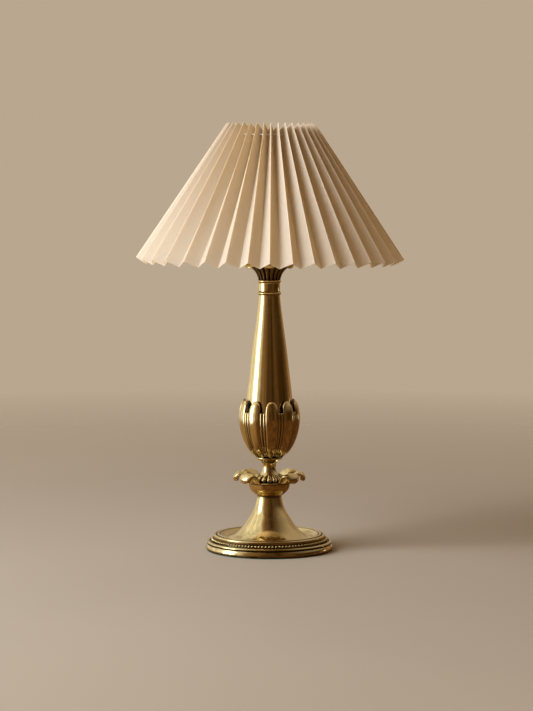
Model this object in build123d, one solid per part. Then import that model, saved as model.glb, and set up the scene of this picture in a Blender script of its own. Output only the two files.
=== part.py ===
from build123d import *
import math
import os

# A candlestick table lamp in cast and turned brass with a pleated conical shade.
# Millimetres. The origin is the centre of the underside, +Z is up, and the cord inlet is at +Y.

# Overall sizes
FOOT_R = 72.75
SHADE_BOTTOM_R = 153.0
SHADE_TOP_R = 50.5
SHADE_BOTTOM_Z = 336.0
SHADE_TOP_Z = 489.7

# The central tube and the holes that it runs through
TUBE_R = 5.0
TUBE_BORE_R = 3.9
TUBE_BOTTOM_Z = 5.2
TUBE_TOP_Z = 338.5
BORE_R = TUBE_R + 0.3
THREAD_R = TUBE_R + 0.05

# Heights of the joints between the stacked pieces, from the table up
FELT_TOP_Z = 1.0
PLATE_TOP_Z = 2.5
FOOT_TOP_Z = 62.7
BOWL_TOP_Z = 77.0
COLLAR_TOP_Z = 79.0
NECK_TOP_Z = 104.9
NECK_RING_TOP_Z = 107.9
CALYX_SEAT_Z = 112.0
COLUMN_TOP_Z = 294.0
LOWER_RING_TOP_Z = 297.6
NECKING_TOP_Z = 307.8
UPPER_RING_TOP_Z = 311.3
CAPITAL_TOP_Z = 327.2
PAN_TOP_Z = 328.8

# Under the foot
CAVITY_R = 68.8
UNDERSIDE_Z = 9.0
WEIGHT_R = 60.0
POCKET_R = 20.0
POCKET_TOP_Z = 11.5
CORD_CHANNEL_W = 9.0
WASHER_T = 1.0
TAG_T = 0.8
NUT_T = 3.0
NUT_ACROSS_FLATS = 14.0

# Beads on the step of the foot
BEAD_COUNT = 106
BEAD_R = 1.4
BEAD_WIRE_R = 0.7
STEP_R = 64.1
STEP_Z = 11.9
BEAD_GAP = 0.05

# Cord inlet at the back of the foot
INLET_Z = 6.4
INLET_BORE_R = 2.9
BUSH_R = 3.6
BUSH_FLANGE_R = 4.4
BUSH_FLANGE_T = 1.2
BUSH_INNER_Y = 65.7

# Petals and ribs
COLLAR_PETAL_TURNS = (-45, 0, 45, 135, 180, 225)
COLLAR_PETAL_R = 11.3
COLLAR_TIP_R = 41.4
COLLAR_DISC_R = 23.8
PAN_PETAL_TURNS = (0, 45, 90, 135, 180, 225, 270, 315)
PAN_PETAL_R = 9.2
PAN_TIP_R = 34.3
PAN_DISC_R = 22.5
LOBE_COUNT = 18
LOBE_R = 3.0
LOBE_RING_R = 17.2
LOBE_Z = 80.9
CALYX_PETAL_COUNT = 10
CALYX_PETAL_SECTOR = 40.0
CALYX_TIP_Z = 174.0
CALYX_LEAF_TOP_Z = 160.5
CALYX_TURN = 5.0
CALYX_RIB_SECTOR = 8.0
CALYX_RIB_TURN = 4.3
FLUTE_COUNT = 18
FLUTE_SECTOR = 11.0

# Lampholder and its push bar
LOCKNUT_T = 4.0
LOCKNUT_ACROSS_FLATS = 15.0
CAP_R = 15.0
CAP_TOP_Z = 349.2
INSULATOR_R = 12.4
INSULATOR_BOTTOM_Z = 340.5
INSULATOR_SHOULDER_Z = 359.0
SOCKET_FLOOR_Z = 360.5
SOCKET_TOP_Z = 383.5
SOCKET_R = 7.7
SHELL_R = 7.65
SHELL_T = 0.4
SLEEVE_R = 14.0
SLEEVE_BORE_R = 12.8
SLEEVE_TOP_Z = 386.0
SLEEVE_MOUTH_R = 10.6
TERMINAL_Y = 8.0
TERMINAL_HOLE_R = 1.6
BAR_R = 2.2
BAR_Z = 345.5
BAR_LENGTH = 40.0
BAR_SHIFT = 2.5
BAR_FIT = 0.08

# Shade carrier and the ring that holds it down
FITTER_BORE_R = 14.3
FITTER_R = 20.6
FITTER_Z = 349.5
FITTER_T = 1.5
KEEPER_BORE_R = SLEEVE_R + 0.06
KEEPER_R = 18.0
KEEPER_Z = 351.3
KEEPER_T = 5.0
KEEPER_NOTCH_COUNT = 24
KEEPER_NOTCH_R = 0.8
ARM_COUNT = 3
ARM_R = 1.4
ARM_FOOT_R = 19.2
CARRIER_Z = 452.0
CARRIER_WIRE_R = 1.5
CARRIER_GAP = 0.3

# Pleated shade
PLEAT_COUNT = 40
FOLD_DEPTH_BOTTOM = 11.5
FOLD_DEPTH_TOP = 16.0
SHADE_T = 0.6
GATHER_CORD_R = 0.6
GATHER_CORD_RING_R = 50.0
GATHER_CORD_Z = 476.0

# Bulb
BULB_CONTACT_Z = 361.7
BULB_CAP_R = 6.95
BULB_CAP_TOP_Z = 387.0
GLOBE_R = 22.5
GLOBE_Z = 415.2
GLASS_T = 0.8


def line(*points):
    return "line", points


def smooth(*points):
    return "smooth", points


def arc(middle, end):
    return "arc", (middle, end)


def section(start, *stretches):
    """A closed outline of (radius, height) points, from start through each stretch and back."""
    curves = {"line": Polyline, "smooth": Spline, "arc": ThreePointArc}
    here = start
    edges = []
    for kind, points in stretches:
        edges.append(curves[kind](here, *points))
        here = points[-1]
    edges.append(Line(here, start))
    return Plane.XZ * make_face(edges)


def turned(start, *stretches):
    """A piece turned about the lamp's axis."""
    return revolve(section(start, *stretches), axis=Axis.Z)


def slice_turned(angle, start, *stretches):
    """A slice of a turned piece, centred on +X."""
    piece = revolve(section(start, *stretches), axis=Axis.Z, revolution_arc=angle)
    return Rot(0, 0, -angle / 2) * piece


def ring(inner, outer, bottom, top):
    """A plain washer or sleeve between two heights."""
    return turned((inner, bottom), line((outer, bottom), (outer, top), (inner, top)))


def hex_nut(across_flats, bottom, thickness):
    blank = extrude(RegularPolygon(across_flats / 2, 6, major_radius=False), thickness)
    return Pos(0, 0, bottom) * blank - Pos(0, 0, bottom) * Cylinder(
        THREAD_R, 3 * thickness
    )


def around(piece, count, turn=0.0):
    """Copies of a piece at equal angles about the lamp's axis."""
    return [Rot(0, 0, turn + 360 * i / count) * piece for i in range(count)]


def rod(start, end, radius):
    """A straight round bar between two points."""
    path = Line(start, end)
    return sweep(Plane(path @ 0, z_dir=path % 0) * Circle(radius), path=path)


def petal_outline(turns, petal_r, tip_r):
    """The plan of a rosette's round petals."""
    return [Rot(0, 0, turn) * Pos(tip_r - petal_r, 0) * Circle(petal_r) for turn in turns]


# The foot and what is under it

def felt_pad():
    return ring(0, FOOT_R - 0.75, 0, FELT_TOP_Z)


def base_plate():
    return ring(0, CAVITY_R - 0.3, FELT_TOP_Z, PLATE_TOP_Z)


def foot():
    casting = turned(
        (BORE_R, FOOT_TOP_Z),
        line((13.8, FOOT_TOP_Z)),
        smooth((15.2, 56.5), (17.1, 49.5), (20.1, 43.1), (24.1, 36.8), (28.5, 30.0),
               (33.2, 23.9), (39.0, 18.7), (45.5, 15.4), (50.5, 15.1), (55.0, 17.8)),
        arc((56.2, 18.6), (57.0, 17.9)),
        line((57.2, 17.0)),
        arc((58.9, 19.3), (60.4, 17.2)),
        line((60.6, 16.3)),
        arc((62.7, 18.3), (STEP_R, 15.9)),
        line((STEP_R, STEP_Z), (68.0, STEP_Z), (68.2, 9.6)),
        arc((70.1, 11.0), (71.6, 9.3)),
        line((70.4, 8.0), (71.5, 7.5)),
        arc((FOOT_R, 3.5), (72.4, FELT_TOP_Z)),
        line((CAVITY_R, FELT_TOP_Z), (CAVITY_R, 6.6), (62.6, UNDERSIDE_Z), (49.0, UNDERSIDE_Z)),
        smooth((44.0, 11.0), (38.0, 15.0), (32.5, 20.6), (27.0, 27.6), (22.0, 34.6),
               (17.6, 41.0), (14.2, 47.0), (11.8, 53.0)),
        line((10.4, 55.5), (BORE_R, 55.5)),
    )
    inlet = Pos(0, CAVITY_R, INLET_Z) * Rot(90, 0, 0) * Cylinder(BUSH_R + BEAD_GAP, 18)
    return casting - inlet


def bead_ring():
    bead_centre_r = STEP_R + BEAD_R + BEAD_GAP
    height = STEP_Z + BEAD_R + BEAD_GAP
    wire = Pos(0, 0, height) * Torus(bead_centre_r, BEAD_WIRE_R)
    return wire + around(Pos(bead_centre_r, 0, height) * Sphere(BEAD_R), BEAD_COUNT)


def base_weight():
    slug = turned(
        (BORE_R, POCKET_TOP_Z),
        line((POCKET_R, POCKET_TOP_Z), (POCKET_R, PLATE_TOP_Z), (WEIGHT_R, PLATE_TOP_Z),
             (WEIGHT_R, UNDERSIDE_Z), (50.5, UNDERSIDE_Z), (49.5, 8.0), (44.0, 8.6),
             (37.0, 12.5), (30.0, 16.0), (BORE_R, 16.0)),
    )
    channel = Pos(0, 40, PLATE_TOP_Z + 3.5) * Box(CORD_CHANNEL_W, 50, 7)
    return slug - channel


def lock_washer():
    return ring(BORE_R, 9.5, POCKET_TOP_Z - WASHER_T, POCKET_TOP_Z)


def earth_tag():
    top = POCKET_TOP_Z - WASHER_T
    eye = ring(BORE_R, 8.0, top - TAG_T, top)
    blade = Pos(-12.0, 0, top - TAG_T / 2) * Box(10, 4.8, TAG_T)
    crimp_hole = Pos(-15.0, 0, top) * Cylinder(1.1, 4)
    return eye + blade - crimp_hole


def lower_nut():
    top = POCKET_TOP_Z - WASHER_T - TAG_T
    return hex_nut(NUT_ACROSS_FLATS, top - NUT_T, NUT_T)


def threaded_tube():
    return ring(TUBE_BORE_R, TUBE_R, TUBE_BOTTOM_Z, TUBE_TOP_Z)


def cord_bush():
    flange_y = FOOT_R + 0.03
    bush = turned(
        (INLET_BORE_R, BUSH_INNER_Y),
        line((BUSH_R, BUSH_INNER_Y), (BUSH_R, flange_y), (BUSH_FLANGE_R, flange_y),
             (BUSH_FLANGE_R, flange_y + BUSH_FLANGE_T - 0.4)),
        arc((BUSH_FLANGE_R - 0.15, flange_y + BUSH_FLANGE_T - 0.1),
            (BUSH_FLANGE_R - 0.5, flange_y + BUSH_FLANGE_T)),
        line((INLET_BORE_R, flange_y + BUSH_FLANGE_T)),
    )
    return Pos(0, 0, INLET_Z) * Rot(-90, 0, 0) * bush


# The stem, from the foot up

def lower_bowl():
    return turned(
        (BORE_R, FOOT_TOP_Z),
        line((13.8, FOOT_TOP_Z)),
        smooth((16.4, 64.4), (18.8, 66.4), (21.0, 68.8), (22.7, 71.8), (23.8, BOWL_TOP_Z)),
        line((21.8, BOWL_TOP_Z)),
        smooth((20.9, 73.0), (19.4, 70.4), (17.2, 68.0), (14.6, 66.2)),
        line((BORE_R, 66.2)),
    )


def petal_collar():
    """A round plate with three fat petals curling down on each side."""
    plate = turned(
        (BORE_R, BOWL_TOP_Z),
        line((COLLAR_DISC_R - 0.6, BOWL_TOP_Z)),
        arc((COLLAR_DISC_R, (BOWL_TOP_Z + COLLAR_TOP_Z) / 2), (COLLAR_DISC_R - 0.6, COLLAR_TOP_Z)),
        line((BORE_R, COLLAR_TOP_Z)),
    )
    curl = turned(
        (BORE_R + 2, BOWL_TOP_Z),
        line((22.5, BOWL_TOP_Z)),
        smooth((26.4, 79.2), (29.8, 82.8), (32.4, 84.9), (34.4, 84.4), (35.2, 82.6),
               (35.6, 80.6)),
        arc((37.4, 79.2), (39.6, 80.2)),
        smooth((40.9, 82.8), (40.8, 86.4), (38.4, 89.6), (34.4, 90.7), (30.6, 89.2),
               (26.6, 84.8), (21.5, COLLAR_TOP_Z)),
        line((BORE_R + 2, COLLAR_TOP_Z)),
    )
    plan = petal_outline(COLLAR_PETAL_TURNS, COLLAR_PETAL_R, COLLAR_TIP_R)
    petals = [curl & extrude(Pos(0, 0, BOWL_TOP_Z) * petal, 20) for petal in plan]
    return plate + petals


def neck_spindle():
    core = turned(
        (BORE_R, COLLAR_TOP_Z),
        line((18.4, COLLAR_TOP_Z)),
        smooth((17.6, 81.6), (14.6, 84.4), (11.2, 87.0), (8.8, 90.2), (7.6, 94.0), (7.5, 97.4),
               (8.4, 100.8), (10.6, 103.0), (13.4, NECK_TOP_Z)),
        line((BORE_R, NECK_TOP_Z)),
    )
    lobes = around(Pos(LOBE_RING_R, 0, LOBE_Z) * Sphere(LOBE_R), LOBE_COUNT)
    floor = Pos(0, 0, COLLAR_TOP_Z - 10) * Box(60, 60, 20)
    return (core + lobes) - floor - Pos(0, 0, LOBE_Z) * Cylinder(BORE_R, 40)


def rounded_ring(outer, bottom, top):
    """A ring with a half-round outer edge."""
    edge = outer - (top - bottom) / 2
    middle = (bottom + top) / 2
    return turned(
        (BORE_R, bottom),
        line((edge, bottom)),
        arc((outer, middle), (edge, top)),
        line((BORE_R, top)),
    )


def neck_ring():
    return rounded_ring(15.1, NECK_TOP_Z, NECK_RING_TOP_Z)


def calyx():
    """A cup with tall leaves on it and a pair of narrow ribs between each two of them."""
    cup = turned(
        (BORE_R, NECK_RING_TOP_Z),
        line((14.0, NECK_RING_TOP_Z)),
        smooth((19.2, 112.6), (23.4, 117.3), (27.0, 123.8), (30.3, 132.0), (32.6, 141.5),
               (33.7, 151.0), (33.6, CALYX_LEAF_TOP_Z)),
        line((31.0, CALYX_LEAF_TOP_Z)),
        smooth((30.8, 150.5), (28.9, 139.5), (25.6, 130.0), (20.9, 121.5), (15.9, 115.0),
               (12.6, CALYX_SEAT_Z)),
        line((BORE_R, CALYX_SEAT_Z)),
    )
    wall = slice_turned(
        CALYX_PETAL_SECTOR,
        (13.0, NECK_RING_TOP_Z),
        line((14.8, NECK_RING_TOP_Z)),
        smooth((20.7, 112.4), (25.1, 117.0), (28.7, 123.4), (32.0, 131.6), (34.4, 141.2),
               (35.6, 151.0), (35.3, 160.5), (33.6, 168.5), (30.8, CALYX_TIP_Z)),
        line((28.2, 172.4)),
        smooth((31.4, 165.5), (32.3, 157.0), (32.1, 148.5), (30.6, 139.5), (27.4, 129.5),
               (22.6, 120.5), (17.0, 113.5)),
    )
    edge = Spline((2.2, 107.0), (4.7, 117.0), (6.5, 131.0), (7.3, 150.0), (6.9, 166.0))
    tip = ThreePointArc((6.9, 166.0), (0.0, CALYX_TIP_Z), (-6.9, 166.0))
    far_edge = Spline((-6.9, 166.0), (-7.3, 150.0), (-6.5, 131.0), (-4.7, 117.0), (-2.2, 107.0))
    front = make_face([edge, tip, far_edge, Line((-2.2, 107.0), (2.2, 107.0))])
    leaf = wall & extrude(Plane.YZ * front, 45)
    rib = slice_turned(
        CALYX_RIB_SECTOR,
        (13.0, NECK_RING_TOP_Z),
        line((14.3, NECK_RING_TOP_Z)),
        smooth((19.9, 112.5), (24.2, 117.1), (27.8, 123.6), (31.1, 131.8), (33.4, 141.4),
               (34.5, 151.0), (34.4, 159.3)),
        arc((34.1, 160.2), (33.2, CALYX_LEAF_TOP_Z)),
        line((32.0, CALYX_LEAF_TOP_Z), (32.0, 145.0)),
        smooth((29.0, 132.0), (24.0, 121.5), (18.0, 114.0)),
    )
    between = CALYX_TURN - 90 + 180 / CALYX_PETAL_COUNT
    ribs = around(rib, CALYX_PETAL_COUNT, between - CALYX_RIB_TURN)
    ribs += around(rib, CALYX_PETAL_COUNT, between + CALYX_RIB_TURN)
    return cup + ribs + around(leaf, CALYX_PETAL_COUNT, CALYX_TURN - 90)


def column():
    return turned(
        (BORE_R, CALYX_SEAT_Z),
        line((11.5, CALYX_SEAT_Z)),
        smooth((16.2, 119.0), (21.5, 128.0), (25.0, 139.0), (26.9, 152.0), (27.0, 164.0),
               (26.1, 179.4), (23.4, 202.4), (20.2, 230.0), (16.5, 257.7), (13.5, 280.6),
               (12.1, COLUMN_TOP_Z)),
        line((BORE_R, COLUMN_TOP_Z), (BORE_R, 290.0), (10.8, 290.0)),
        smooth((14.4, 257.7), (18.0, 230.0), (21.2, 202.4), (23.9, 179.4), (24.8, 164.0),
               (24.6, 152.0), (22.6, 139.0), (18.4, 127.6), (13.4, 118.5)),
        line((10.0, 115.0), (BORE_R, 115.0)),
    )


def lower_ring():
    return rounded_ring(13.6, COLUMN_TOP_Z, LOWER_RING_TOP_Z)


def necking():
    return turned(
        (BORE_R, LOWER_RING_TOP_Z),
        line((11.9, LOWER_RING_TOP_Z), (12.2, LOWER_RING_TOP_Z + 0.8),
             (12.3, NECKING_TOP_Z - 0.8), (12.0, NECKING_TOP_Z), (BORE_R, NECKING_TOP_Z)),
    )


def upper_ring():
    return rounded_ring(13.5, NECKING_TOP_Z, UPPER_RING_TOP_Z)


def capital():
    bell = turned(
        (BORE_R, UPPER_RING_TOP_Z),
        line((12.0, UPPER_RING_TOP_Z)),
        smooth((12.5, 314.2), (13.3, 317.2), (14.6, 320.2), (16.5, 323.2), (19.2, 325.7),
               (22.0, CAPITAL_TOP_Z)),
        line((BORE_R, CAPITAL_TOP_Z)),
    )
    rib = slice_turned(
        FLUTE_SECTOR,
        (11.0, UPPER_RING_TOP_Z),
        line((12.8, UPPER_RING_TOP_Z)),
        smooth((13.4, 314.0), (14.4, 317.0), (15.9, 320.0), (18.0, 322.8), (20.8, 325.2),
               (23.0, 326.6)),
        line((23.2, CAPITAL_TOP_Z), (19.0, CAPITAL_TOP_Z)),
    )
    return bell + around(rib, FLUTE_COUNT)


def drip_pan():
    curl = turned(
        (BORE_R, CAPITAL_TOP_Z),
        line((22.4, CAPITAL_TOP_Z)),
        smooth((26.0, 328.5), (29.2, 328.5), (31.4, 326.8), (32.0, 324.8)),
        line((33.7, 324.6)),
        smooth((33.2, 327.5), (31.0, 329.8), (27.4, 330.6), (21.5, PAN_TOP_Z)),
        line((BORE_R, PAN_TOP_Z)),
    )
    plan = Circle(PAN_DISC_R) + petal_outline(PAN_PETAL_TURNS, PAN_PETAL_R, PAN_TIP_R)
    return curl & extrude(Pos(0, 0, CAPITAL_TOP_Z - 5) * plan, 12)


# The lampholder

def holder_locknut():
    return hex_nut(LOCKNUT_ACROSS_FLATS, PAN_TOP_Z, LOCKNUT_T)


def holder_cap():
    bottom = PAN_TOP_Z + LOCKNUT_T
    cup = turned(
        (THREAD_R, bottom),
        line((9.5, bottom), (9.5, 334.0)),
        smooth((13.2, 337.0), (CAP_R, 342.0)),
        line((CAP_R, CAP_TOP_Z), (CAP_R - 1.2, CAP_TOP_Z), (CAP_R - 1.2, 342.2)),
        smooth((12.0, 338.2), (9.0, 336.0)),
        line((THREAD_R, 336.0)),
    )
    return cup - Pos(0, 0, BAR_Z) * Rot(0, 90, 0) * Cylinder(BAR_R + 0.3, 40)


def holder_insulator():
    block = turned(
        (0, INSULATOR_BOTTOM_Z),
        line((INSULATOR_R, INSULATOR_BOTTOM_Z), (INSULATOR_R, INSULATOR_SHOULDER_Z),
             (10.2, INSULATOR_SHOULDER_Z), (10.2, SOCKET_TOP_Z), (SOCKET_R, SOCKET_TOP_Z),
             (SOCKET_R, SOCKET_FLOOR_Z), (0, SOCKET_FLOOR_Z)),
    )
    bar_way = Pos(0, 0, BAR_Z) * Rot(0, 90, 0) * Cylinder(BAR_R + BAR_FIT, 40)
    holes = [Pos(0, y, INSULATOR_BOTTOM_Z) * Cylinder(TERMINAL_HOLE_R, 16)
             for y in (-TERMINAL_Y, TERMINAL_Y)]
    return block - bar_way - holes


def terminal_screws():
    shank = Pos(0, 0, INSULATOR_BOTTOM_Z + 3.5) * Cylinder(TERMINAL_HOLE_R - 0.05, 7)
    head = Pos(0, 0, INSULATOR_BOTTOM_Z - 0.7) * Cylinder(2.3, 1.4)
    slot = Pos(0, 0, INSULATOR_BOTTOM_Z - 1.2) * Box(5, 0.6, 0.8)
    screw = shank + head - slot
    return Compound([Pos(0, y, 0) * screw for y in (-TERMINAL_Y, TERMINAL_Y)])


def centre_contact():
    return ring(0, 2.6, SOCKET_FLOOR_Z, SOCKET_FLOOR_Z + 0.8)


def screw_shell():
    return ring(SHELL_R - SHELL_T, SHELL_R, SOCKET_FLOOR_Z + 0.1, SOCKET_TOP_Z - 0.2)


def holder_sleeve():
    return turned(
        (SLEEVE_BORE_R, CAP_TOP_Z),
        line((SLEEVE_R, CAP_TOP_Z), (SLEEVE_R, SLEEVE_TOP_Z - 0.8)),
        arc((SLEEVE_R - 0.25, SLEEVE_TOP_Z - 0.25), (SLEEVE_R - 0.8, SLEEVE_TOP_Z)),
        line((SLEEVE_MOUTH_R, SLEEVE_TOP_Z), (SLEEVE_MOUTH_R, SLEEVE_TOP_Z - 1.6),
             (SLEEVE_BORE_R, SLEEVE_TOP_Z - 1.6)),
    )


def push_bar():
    half = BAR_LENGTH / 2
    bar = turned(
        (0, -half),
        line((BAR_R - 1.2, -half)),
        arc((BAR_R - 0.35, 0.35 - half), (BAR_R, 1.2 - half)),
        line((BAR_R, half - 1.2)),
        arc((BAR_R - 0.35, half - 0.35), (BAR_R - 1.2, half)),
        line((0, half)),
    )
    return Pos(BAR_SHIFT, 0, BAR_Z) * Rot(0, 90, 0) * bar


# The shade and what carries it

def shade_keeper():
    top = KEEPER_Z + KEEPER_T
    blank = turned(
        (KEEPER_BORE_R, KEEPER_Z),
        line((KEEPER_R - 0.4, KEEPER_Z), (KEEPER_R, KEEPER_Z + 0.4), (KEEPER_R, top - 0.4),
             (KEEPER_R - 0.4, top), (KEEPER_BORE_R, top)),
    )
    notch = Pos(KEEPER_R + 0.3, 0, KEEPER_Z) * Cylinder(KEEPER_NOTCH_R, 3 * KEEPER_T)
    return blank - around(notch, KEEPER_NOTCH_COUNT)


def fold_directions():
    """Unit steps in (radius, height): up along the shade's slope, and square to it, inwards."""
    run = SHADE_TOP_R - SHADE_BOTTOM_R
    rise = SHADE_TOP_Z - SHADE_BOTTOM_Z
    slope = math.hypot(run, rise)
    return (run / slope, rise / slope), (-rise / slope, run / slope)


def fold_point(radius, height, depth):
    """A point on the shade's slope, moved inwards by depth."""
    inwards = fold_directions()[1]
    return radius + depth * inwards[0], height + depth * inwards[1]


def wall_step(valley_depth, ridge_r):
    """How far the inner face of the zigzag lies behind the outer one, measured like the depth."""
    half_pitch = math.pi / PLEAT_COUNT
    valley_r = fold_point(ridge_r, 0, valley_depth)[0]
    across = (ridge_r + valley_r) / 2 * math.sin(half_pitch)
    return SHADE_T * math.hypot(across, valley_depth) / across


def zigzag(radius, height, ridge_depth, valley_depth):
    """One closed row of corners round the shade, ridge and valley in turn."""
    corners = []
    for i in range(2 * PLEAT_COUNT):
        depth = valley_depth if i % 2 else ridge_depth
        r, z = fold_point(radius, height, depth)
        angle = math.pi * i / PLEAT_COUNT - math.pi / 2
        corners.append((r * math.cos(angle), r * math.sin(angle), z))
    return corners


def strip(row_a, row_b):
    """Flat triangles between two rows of corners."""
    faces = []
    for i in range(len(row_a)):
        j = (i + 1) % len(row_a)
        for corners in ((row_a[i], row_b[j], row_a[j]), (row_a[i], row_b[i], row_b[j])):
            faces.append(Face(Wire.make_polygon(corners, close=True)))
    return faces


def pleated_shade():
    step_bottom = wall_step(FOLD_DEPTH_BOTTOM, SHADE_BOTTOM_R)
    step_top = wall_step(FOLD_DEPTH_TOP, SHADE_TOP_R)
    inner_bottom = zigzag(SHADE_BOTTOM_R, SHADE_BOTTOM_Z, step_bottom,
                          FOLD_DEPTH_BOTTOM + step_bottom)
    outer_bottom = zigzag(SHADE_BOTTOM_R, SHADE_BOTTOM_Z, 0, FOLD_DEPTH_BOTTOM)
    outer_top = zigzag(SHADE_TOP_R, SHADE_TOP_Z, 0, FOLD_DEPTH_TOP)
    inner_top = zigzag(SHADE_TOP_R, SHADE_TOP_Z, step_top, FOLD_DEPTH_TOP + step_top)
    rows = [inner_bottom, outer_bottom, outer_top, inner_top]
    faces = []
    for row_a, row_b in zip(rows, rows[1:] + rows[:1]):
        faces += strip(row_a, row_b)
    return Solid(Shell(faces))


def gather_cord():
    return Pos(0, 0, GATHER_CORD_Z) * Torus(GATHER_CORD_RING_R, GATHER_CORD_R)


def carrier_ring_radius():
    """The carrier's ring lies just inside the inner folds at its height."""
    step_bottom = wall_step(FOLD_DEPTH_BOTTOM, SHADE_BOTTOM_R)
    step_top = wall_step(FOLD_DEPTH_TOP, SHADE_TOP_R)
    low = fold_point(SHADE_BOTTOM_R, SHADE_BOTTOM_Z, FOLD_DEPTH_BOTTOM + step_bottom)
    high = fold_point(SHADE_TOP_R, SHADE_TOP_Z, FOLD_DEPTH_TOP + step_top)
    share = (CARRIER_Z - low[1]) / (high[1] - low[1])
    fold_r = low[0] + share * (high[0] - low[0])
    lean = math.atan2(low[0] - high[0], high[1] - low[1])
    return fold_r - (CARRIER_WIRE_R + CARRIER_GAP) / math.cos(lean)


def shade_carrier():
    fitter = ring(FITTER_BORE_R, FITTER_R, FITTER_Z, FITTER_Z + FITTER_T)
    hoop_r = carrier_ring_radius()
    hoop = Pos(0, 0, CARRIER_Z) * Torus(hoop_r, CARRIER_WIRE_R)
    arm = rod((ARM_FOOT_R, 0, FITTER_Z + FITTER_T / 2), (hoop_r, 0, CARRIER_Z), ARM_R)
    arms = around(arm, ARM_COUNT, 90)
    below = Pos(0, 0, FITTER_Z - 5) * Box(60, 60, 10)
    return fitter + hoop + arms - below


# The bulb

def bulb_contact():
    return turned(
        (0, BULB_CONTACT_Z),
        line((1.4, BULB_CONTACT_Z)),
        arc((2.2, BULB_CONTACT_Z + 0.3), (2.6, BULB_CONTACT_Z + 1.2)),
        line((0, BULB_CONTACT_Z + 1.2)),
    )


def bulb_cap():
    foot_z = BULB_CONTACT_Z + 1.2
    return turned(
        (0, foot_z),
        line((2.6, foot_z), (5.4, foot_z + 1.6), (BULB_CAP_R, foot_z + 2.6),
             (BULB_CAP_R, BULB_CAP_TOP_Z), (BULB_CAP_R - 0.4, BULB_CAP_TOP_Z),
             (BULB_CAP_R - 0.4, foot_z + 3.0), (0, foot_z + 3.0)),
    )


def bulb_glass():
    neck_r = BULB_CAP_R - 0.5
    bottom = BULB_CAP_TOP_Z - 6.0
    outer = (GLOBE_R * math.cos(math.radians(50)), GLOBE_Z - GLOBE_R * math.sin(math.radians(50)))
    inner_r = GLOBE_R - GLASS_T
    inner = (inner_r * math.cos(math.radians(50)), GLOBE_Z - inner_r * math.sin(math.radians(50)))
    return turned(
        (neck_r - GLASS_T, bottom),
        line((neck_r, bottom), (neck_r, BULB_CAP_TOP_Z + 0.4)),
        smooth((8.6, 392.4), outer),
        arc((GLOBE_R, GLOBE_Z), (0, GLOBE_Z + GLOBE_R)),
        line((0, GLOBE_Z + inner_r)),
        arc((inner_r, GLOBE_Z), inner),
        smooth((8.0, 392.8), (neck_r - GLASS_T, BULB_CAP_TOP_Z + 0.4)),
    )


def bulb_stem():
    bottom = BULB_CAP_TOP_Z - 6.0
    return turned(
        (0, bottom),
        line((BULB_CAP_R - 1.5, bottom), (BULB_CAP_R - 1.5, bottom + 1.0)),
        smooth((3.0, bottom + 4.0), (2.0, bottom + 9.0), (2.0, GLOBE_Z - 12.0)),
        line((0, GLOBE_Z - 12.0)),
    )


def bulb_filament():
    hoop = Pos(0, 0, GLOBE_Z) * Rot(90, 0, 0) * Torus(7.0, 0.4)
    posts = [Pos(0, 0, GLOBE_Z - 9.5) * Cylinder(0.4, 5.0)]
    return hoop + posts


PIECES = (
    felt_pad, base_plate, foot, bead_ring, base_weight, lock_washer, earth_tag, lower_nut,
    threaded_tube, cord_bush, lower_bowl, petal_collar, neck_spindle, neck_ring, calyx, column,
    lower_ring, necking, upper_ring, capital, drip_pan, holder_locknut, holder_cap,
    holder_insulator, terminal_screws, centre_contact, screw_shell, holder_sleeve, push_bar,
    shade_keeper, shade_carrier, pleated_shade, gather_cord, bulb_contact, bulb_cap, bulb_glass,
    bulb_stem, bulb_filament,
)

os.makedirs("parts", exist_ok=True)
for make in PIECES:
    export_step(make(), f"parts/{make.__name__}.step")
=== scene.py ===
import math
import random

import bpy
from bpy.props import FloatProperty, FloatVectorProperty, IntProperty, PointerProperty
from bpy.types import Operator, Panel, PropertyGroup
from mathutils import Matrix, Vector


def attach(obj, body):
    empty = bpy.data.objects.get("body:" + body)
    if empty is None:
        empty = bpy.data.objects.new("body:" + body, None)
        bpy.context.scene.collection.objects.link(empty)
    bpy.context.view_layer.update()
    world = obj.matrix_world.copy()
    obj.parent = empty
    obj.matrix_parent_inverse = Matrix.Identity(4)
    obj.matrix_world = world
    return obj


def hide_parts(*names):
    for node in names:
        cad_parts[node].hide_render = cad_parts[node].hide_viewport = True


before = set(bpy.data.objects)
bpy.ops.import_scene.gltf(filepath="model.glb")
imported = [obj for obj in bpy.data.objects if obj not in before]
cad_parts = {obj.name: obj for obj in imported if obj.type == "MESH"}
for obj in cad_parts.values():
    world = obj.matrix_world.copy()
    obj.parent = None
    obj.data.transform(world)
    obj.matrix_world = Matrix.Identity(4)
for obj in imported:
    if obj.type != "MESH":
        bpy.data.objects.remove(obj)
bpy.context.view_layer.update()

bl_info = {
    "name": "Candlestick Lamp",
    "version": (1, 0, 0),
    "blender": (4, 5, 0),
    "location": "View3D > Sidebar > Lamp",
    "description": "Builds a brass candlestick lamp with a pleated shade round its packed frame",
    "category": "Object",
}

MM = 0.001
FULL_TURN = 2 * math.pi
MERGE_GAP = 0.5e-6

# Heights, in millimetres, of the joints between the stacked brass pieces
FELT_TOP = 1.0
FOOT_TOP = 62.7
BOWL_TOP = 77.0
COLLAR_TOP = 79.0
NECK_TOP = 104.9
NECK_RING_TOP = 107.9
CALYX_SEAT = 112.0
COLUMN_TOP = 294.0
LOWER_RING_TOP = 297.6
NECKING_TOP = 307.8
UPPER_RING_TOP = 311.3
CAPITAL_TOP = 327.2
PAN_TOP = 328.8
BORE = 5.35

# The step of the foot that the beads stand on
BEAD_RADIUS = 1.55
BEAD_RING_RADIUS = 65.55
BEAD_HEIGHT = 12.7
BEAD_WIRE_RADIUS = 0.35
BEAD_WIRE_HEIGHT = 11.35
BEAD_STRETCH = 1.04  # along the ring's radius

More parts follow.
